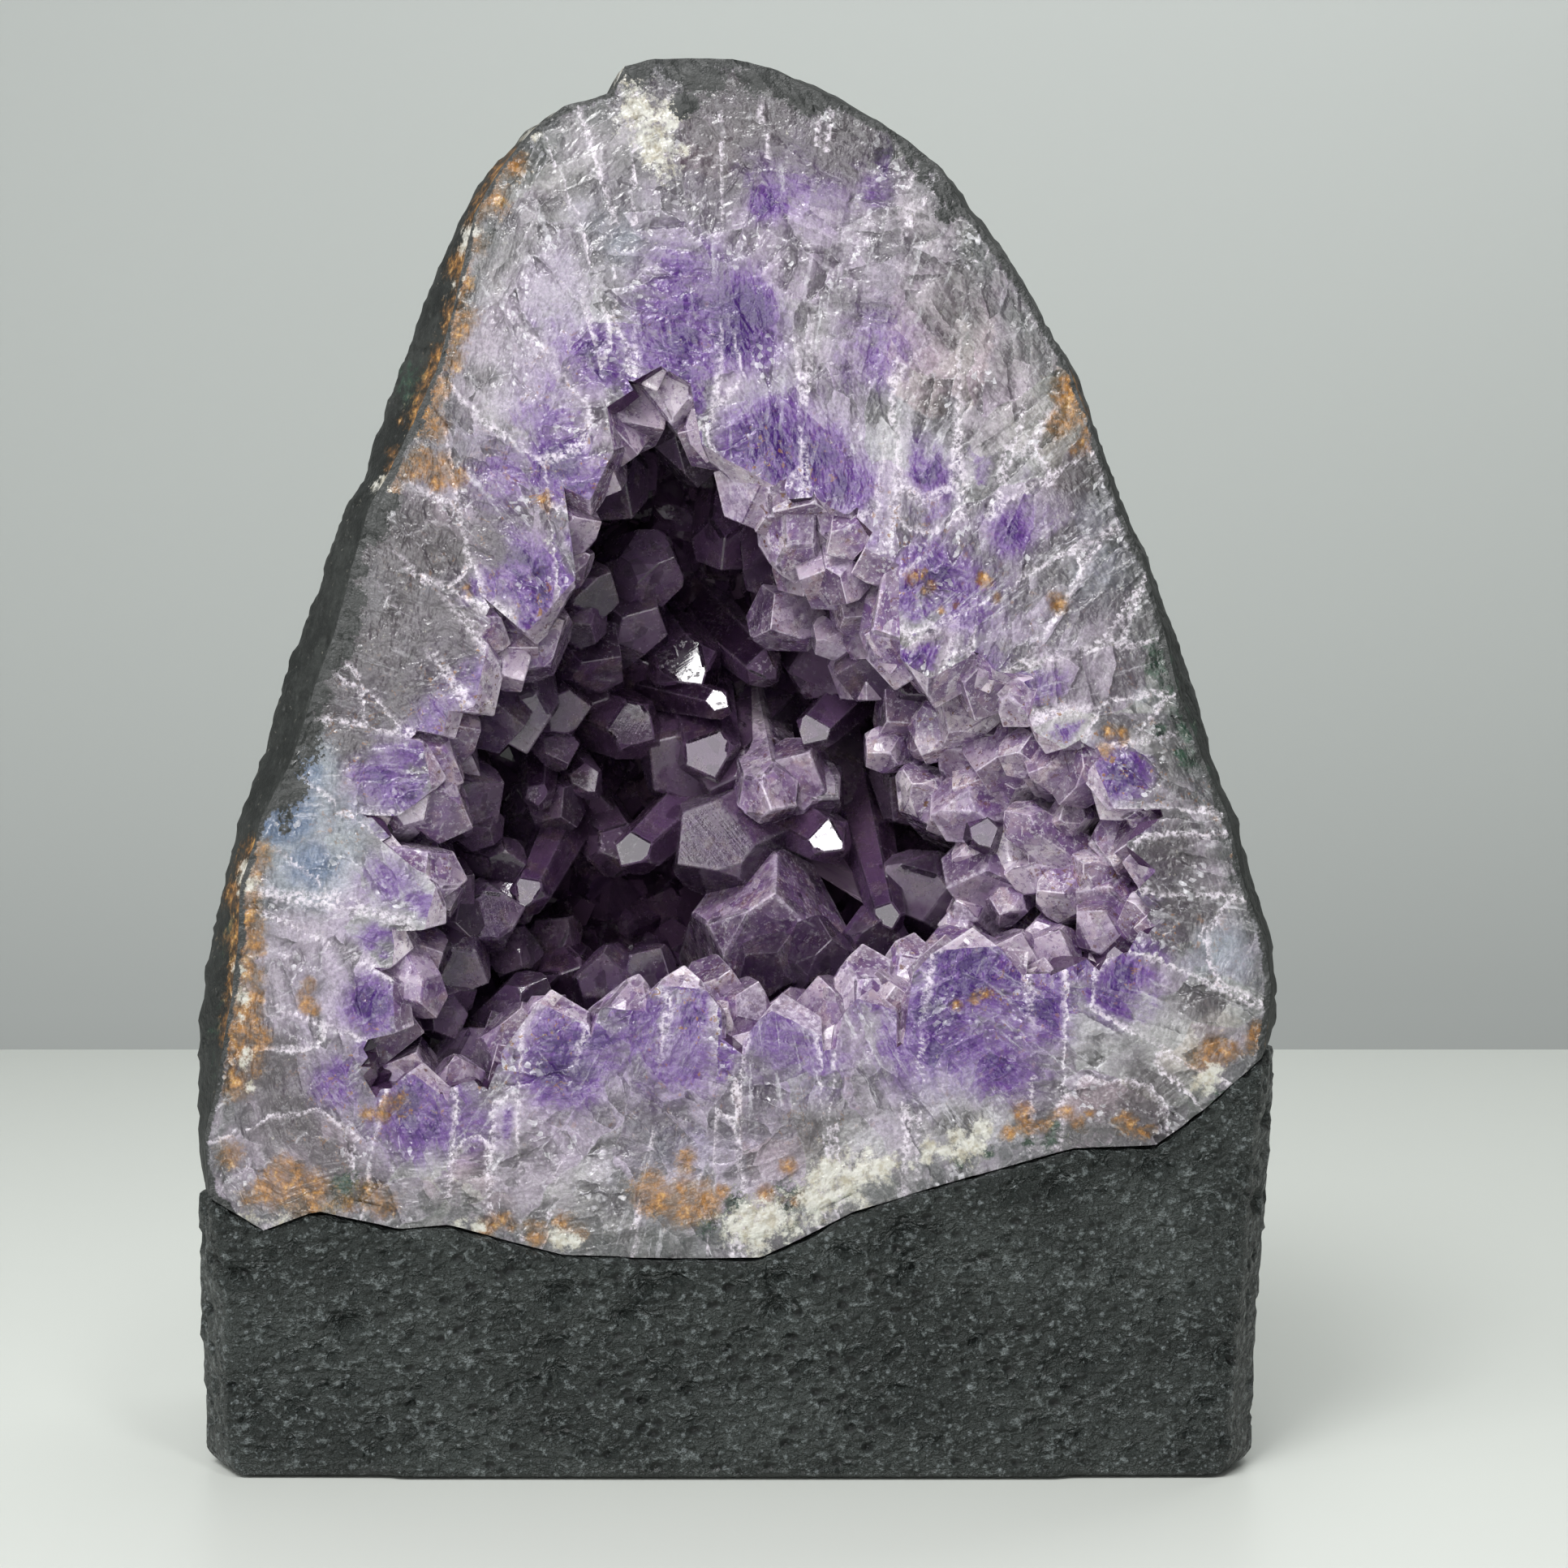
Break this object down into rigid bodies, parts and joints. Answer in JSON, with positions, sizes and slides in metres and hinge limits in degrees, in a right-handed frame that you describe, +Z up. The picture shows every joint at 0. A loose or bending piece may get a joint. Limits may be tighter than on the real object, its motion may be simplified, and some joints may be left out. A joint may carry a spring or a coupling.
{
  "type": "amethyst cathedral geode",
  "caption": "Upright half geode sawn flat at the front: quartz wall round a hollow lined with amethyst crystals, basalt rind behind, set in a dark cement block.",
  "frame": {"origin": "middle of the bounding box's footprint, on the surface that the base stands on", "axes": "+Z up, the sawn face with the hollow looks towards -Y, +X to the viewer's right"},
  "size_m": [0.1562, 0.1004, 0.2],
  "materials": {
    "painted_cement": "dark grey paint over pitted cement, matt with small glints",
    "painted_basalt": "dark grey painted rock with rust, chalk and green stains at the sawn edge",
    "milky_quartz": "sawn and polished, translucent white, grey and pale blue",
    "amethyst": "clear violet crystal with flat glassy faces, paler towards its roots"
  },
  "bodies": {
    "root": {"cement_base": "painted_cement", "basalt_rind": "painted_basalt", "quartz_wall": "milky_quartz", "amethyst_crust": "amethyst"}
  },
  "joints": []
}
